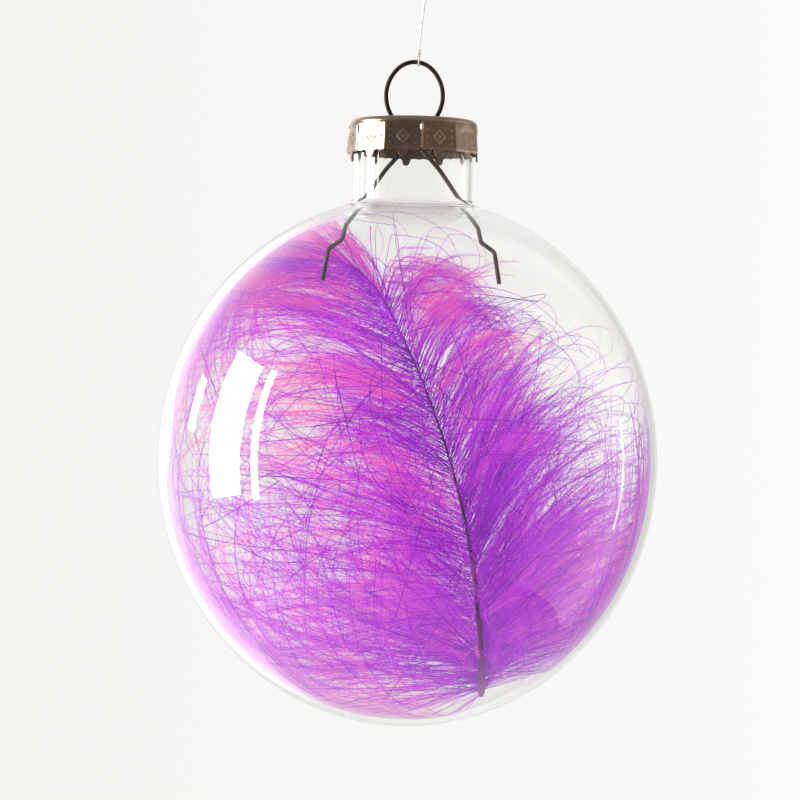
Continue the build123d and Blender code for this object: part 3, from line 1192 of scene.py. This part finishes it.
    def kinds(self) -> list[Growth]:
        """Lists the barbs from the firm vane out to the loosest down."""
        right, left = Side.RIGHT, Side.LEFT
        return [
            Growth(
                "right_vane_barbs", right, 220, (3, 68),
                (37, 37, 42), (0.3, 0.9, 8.0), (30, 21, 18), 5, 3, 11,
                hair_length=1.3, clump=20,
            ),
            Growth(
                "right_vane_under", right, 220, (4, 68),
                (41, 40, 44), (0.5, 1.2, 7.0), (34, 22, 19), 14, 8, 12,
                hair_length=2.0, clump=10,
            ),
            Growth(
                "right_plumes", right, 180, (3, 34), (46, 44, 42), (0.9, 1.4, 2.4), (38, 31, 21), 24, 11, 13,
                hair_length=2.2, clump=14,
            ),
            Growth(
                "right_hooks", right, 58, (8, 42), (42, 38, 34), (3.0, 3.6, 4.4), (45, 43, 34), 32, 15, 14,
                hairs=2, hair_length=1.5, tone=0.32, clump=5, ceiling=30, hook=4,
            ),
            Growth(
                "right_wall_hooks", right, 120, (3, 18),
                (66, 58, 50), (0.3, 0.9, 2.2), (47, 45, 42), 38, 14, 15,
                hairs=2, hair_length=1.8, tone=0.36, clump=8, hook=3,
            ),
            Growth(
                "left_vane_barbs", left, 220, (3, 76), (46, 46, 26), (0.4, 0.8, 1.4), (19, 18, 24), 5, 3, 21,
                hair_length=1.3, clump=20,
            ),
            Growth(
                "left_vane_under", left, 220, (4, 77), (50, 50, 26), (0.6, 1.0, 1.8), (23, 21, 34), 16, 9, 22,
                hair_length=2.0, clump=10,
            ),
            Growth(
                "left_plumes", left, 120, (46, 77), (54, 42, 18), (0.8, 1.2, 1.7), (40, 46, 50), 28, 15, 23,
                hair_length=1.8, tone=0.58, clump=12, ceiling=36,
            ),
            Growth(
                "left_low_plumes", left, 150, (1, 28),
                (92, 80, 66), (0.1, 0.4, 0.6), (52, 48, 42), 36, 17, 24,
                hairs=4, hair_length=2.8, tone=0.48, clump=6,
            ),
            Growth(
                "left_middle_haze", left, 64, (22, 54),
                (60, 62, 58), (0.3, 0.7, 1.0), (40, 40, 38), 44, 13, 29,
                hairs=4, hair_length=2.8, tone=0.74, clump=5,
            ),
            Growth(
                "left_bowl_arcs", left, 112, (0.5, 9),
                (98, 92, 84), (-0.9, -0.8, -0.5), (72, 66, 56), 42, 14, 30,
                hairs=4, hair_length=2.6, tone=0.48, clump=6,
            ),
            Growth(
                "left_foot_down", left, 96, (0.5, 16),
                (46, 50, 50), (0.3, 0.5, 0.6), (20, 24, 26), 26, 14, 27,
                hair_length=2.6, clump=8,
            ),
            Growth(
                "right_foot_down", right, 96, (0.5, 16),
                (50, 46, 42), (0.2, 0.5, 0.8), (17, 22, 26), 26, 14, 28,
                hair_length=2.6, clump=8,
            ),
            Growth(
                "right_low_plumes", right, 100, (1, 16),
                (76, 68, 60), (0.1, 0.3, 0.6), (32, 33, 32), 34, 14, 25,
                hair_length=2.2, clump=7,
            ),
            Growth(
                "crown_haze", left, 60, (58, 77), (4, 6, 10), (2.2, 2.4, 2.6), (26, 24, 22), 26, 14, 32,
                hair_length=2.2, tone=0.7, clump=6, ceiling=36,
            ),
            Growth(
                "crown_arcs", right, 20, (50, 77), (14, 14, 20), (2.6, 3.6, 4.6), (36, 34, 28), 30, 20, 26,
                hairs=1, hair_length=0.8, tone=0.34, clump=3, ceiling=37, hook=3,
            ),
        ]

    def dress(self) -> None:
        """Builds and dresses the whole feather."""
        horn, down = DyedHorn().material(), DyedDown().material()
        dress(self.quill(), "feather", "quill", horn, "feather_quill")
        stood_for = {"right_vane_barbs": "feather_right_vane", "left_vane_barbs": "feather_left_vane"}
        for kind in self.kinds():
            nodes = [stood_for[kind.name]] if kind.name in stood_for else []
            dress(self.barbs(kind), "feather", "barbs", down, *nodes)
        dress(self.loose_hairs("loose_barbs", 130, 31), "feather", "barbs", down)


# ---------------------------------------------------------------- studio


@dataclass
class WindowPane:
    """One tall soft light: its place, turned from the front to the left, and its rise, in degrees."""

    name: str
    around: tuple[float, float]
    rise: tuple[float, float]
    brightness: float


@dataclass
class Studio:
    """Plain pale surroundings, tall soft lights at the left, a floor and the camera."""

    ball: GlassBall
    camera_distance: float = 500.0
    camera_right: float = -1.387
    camera_up: float = 9.74
    camera_roll: float = 1.1
    lens: float = 140.18
    light_distance: float = 600.0
    floor_drop: float = 118.0
    floor_radius: float = 190.0
    floor_curl: float = 6.0
    floor_rows: int = 39
    floor_columns: int = 96
    panes: tuple = (
        WindowPane("window_wide", (79.0, 99.0), (-12.0, 28.0), 24.0),
        WindowPane("window_narrow", (69.0, 73.0), (-14.0, 28.0), 20.0),
        WindowPane("window_short", (112.0, 118.0), (5.0, 17.0), 20.0),
        WindowPane("window_right", (-113.0, -111.5), (-15.0, 10.0), 8.0),
    )
    # share of the way round, from the front past the left, the back and the right, and the colour there
    walls: tuple = (
        (0.0, (0.115, 0.10, 0.09)),
        (0.13, (0.11, 0.095, 0.085)),
        (0.22, (0.31, 0.30, 0.29)),
        (0.36, (0.30, 0.30, 0.29)),
        (0.41, (0.50, 0.50, 0.49)),
        (0.44, (0.54, 0.54, 0.53)),
        (0.475, (0.303, 0.299, 0.293)),
        (0.5, (0.312, 0.309, 0.304)),
        (0.525, (0.323, 0.321, 0.317)),
        (0.57, (0.24, 0.235, 0.23)),
        (0.63, (0.14, 0.135, 0.13)),
        (0.68, (0.42, 0.395, 0.36)),
        (0.78, (0.30, 0.28, 0.255)),
        (0.86, (0.17, 0.145, 0.125)),
        (1.0, (0.115, 0.10, 0.09)),
    )
    strength: float = 3.0
    ceiling: tuple = (0.15, 0.15, 0.148, 1)
    ceiling_from: float = 0.35
    ceiling_full: float = 0.85

    def middle(self) -> Vector:
        """The ball's middle in metres."""
        return Vector((self.ball.axis_x * MM, 0, self.ball.middle_z * MM))

    def camera(self) -> None:
        """Sets the camera level in front of the ball, with the slight roll that the view has."""
        data = bpy.data.cameras.new("camera")
        data.sensor_width, data.lens = 36.0, self.lens
        data.clip_start, data.clip_end = 0.02, 20.0
        camera = bpy.data.objects.new("camera", data)
        place = self.middle() + Vector((self.camera_right, -self.camera_distance, self.camera_up)) * MM
        level = Matrix.Rotation(pi / 2, 4, "X")
        roll = Matrix.Rotation(radians(self.camera_roll), 4, "Z")
        camera.matrix_world = Matrix.Translation(place) @ level @ roll
        bpy.context.scene.collection.objects.link(camera)
        bpy.context.scene.camera = camera

    def window(self, pane: WindowPane) -> None:
        """Hangs one pane as a soft light that faces the ball and isn't seen through the glass."""
        distance = self.light_distance * MM
        mean = radians(sum(pane.around) / 2)
        low, high = (distance * tan(radians(r)) for r in pane.rise)
        toward = Vector((-sin(mean), -cos(mean), 0)) * distance + Vector((0, 0, (low + high) / 2))
        data = bpy.data.lights.new(pane.name, "AREA")
        data.shape = "RECTANGLE"
        data.size = 2 * distance * tan(radians((pane.around[1] - pane.around[0]) / 2))
        data.size_y = high - low
        data.energy = pane.brightness * pi * data.size * data.size_y
        data.color = (1.0, 0.985, 0.96)
        light = bpy.data.objects.new(pane.name, data)
        facing = (-toward).to_track_quat("-Z", "Y").to_matrix().to_4x4()
        light.matrix_world = Matrix.Translation(self.middle() + toward) @ facing
        light.visible_camera = False
        light.visible_transmission = False
        bpy.context.scene.collection.objects.link(light)

    def surroundings(self) -> None:
        """Makes the plain surroundings: pale behind and at the sides, dimmer in front and overhead.

        The wall's colour goes by atan2(x, y), and it blends into the ceiling's by how steeply the view rises.
        """
        world = bpy.data.worlds.new("studio")
        bpy.context.scene.world = world
        board = Board(world, "OutputWorld")
        place = board.add("TexCoord").outputs["Generated"]
        parts = board.add("SeparateXYZ", Vector=place).outputs
        around = board.math("ARCTAN2", parts["X"], parts["Y"])
        share = board.math("MULTIPLY_ADD", around, 1 / (2 * pi), 0.5)
        walls = board.ramp(share, self.walls, "EASE")
        rise = {"From_Min": self.ceiling_from, "From_Max": self.ceiling_full}
        height = board.add("MapRange", Value=parts["Z"], **rise)
        blend = board.add("Mix", {"data_type": "RGBA"})
        for index, value in ((0, height.outputs[0]), (6, walls), (7, self.ceiling)):
            board.feed(blend.inputs[index], value)
        board.finish(board.add("Background", Strength=self.strength, Color=blend.outputs[2]))

    def floor(self) -> None:
        """Lays a round pale floor below the ball, with an edge that curls down: z = -floor_curl (r/R)^8."""
        columns = self.floor_columns
        radius = np.linspace(0, self.floor_radius, self.floor_rows + 1)[1:, None]
        angle = turns(columns)
        drop = -self.floor_curl * (radius / self.floor_radius) ** 8
        level = self.ball.middle_z - self.ball.height / 2 - self.floor_drop
        across, along = radius * np.cos(angle), radius * np.sin(angle)
        ring = np.stack([self.ball.axis_x + across, along, level + drop + 0 * angle], axis=-1)
        points = np.concatenate([ring.reshape(-1, 3), [[self.ball.axis_x, 0, level]]])
        step, after = np.arange(columns), (np.arange(columns) + 1) % columns
        fan = np.stack([np.full(columns, len(points) - 1), step, after], axis=-1)
        floor = Shape(points, grid_quads(self.floor_rows, columns)[:, ::-1], fan).build("studio_floor")
        floor.data.materials.append(StudioWhite().material())

    def build(self) -> None:
        """Sets up everything round the ornament."""
        self.camera()
        self.surroundings()
        self.floor()
        for pane in self.panes:
            self.window(pane)
        bpy.context.scene.view_settings.view_transform = "Standard"


def main() -> None:
    """Builds the ornament part by part, then the studio."""
    logging.basicConfig(level=logging.INFO, format="%(message)s")
    Thread().dress()
    ball = GlassBall()
    dress(ball.build(), "ball", "glass", ClearGlass().material(), "glass_ball")
    dress(Cap(ball).build(), "hanger", "cap_metal", StampedMetal().material(), "cap")
    wire = SpringWire().material()
    wires = {"hanger_ring": "hanger", "right_spring_leg": "right_leg", "left_spring_leg": "left_leg"}
    for node, body in wires.items():
        dress(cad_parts[node], body, "wire", wire)
    Feather(ball).dress()
    Studio(ball).build()


if __name__ == "__main__":
    main()
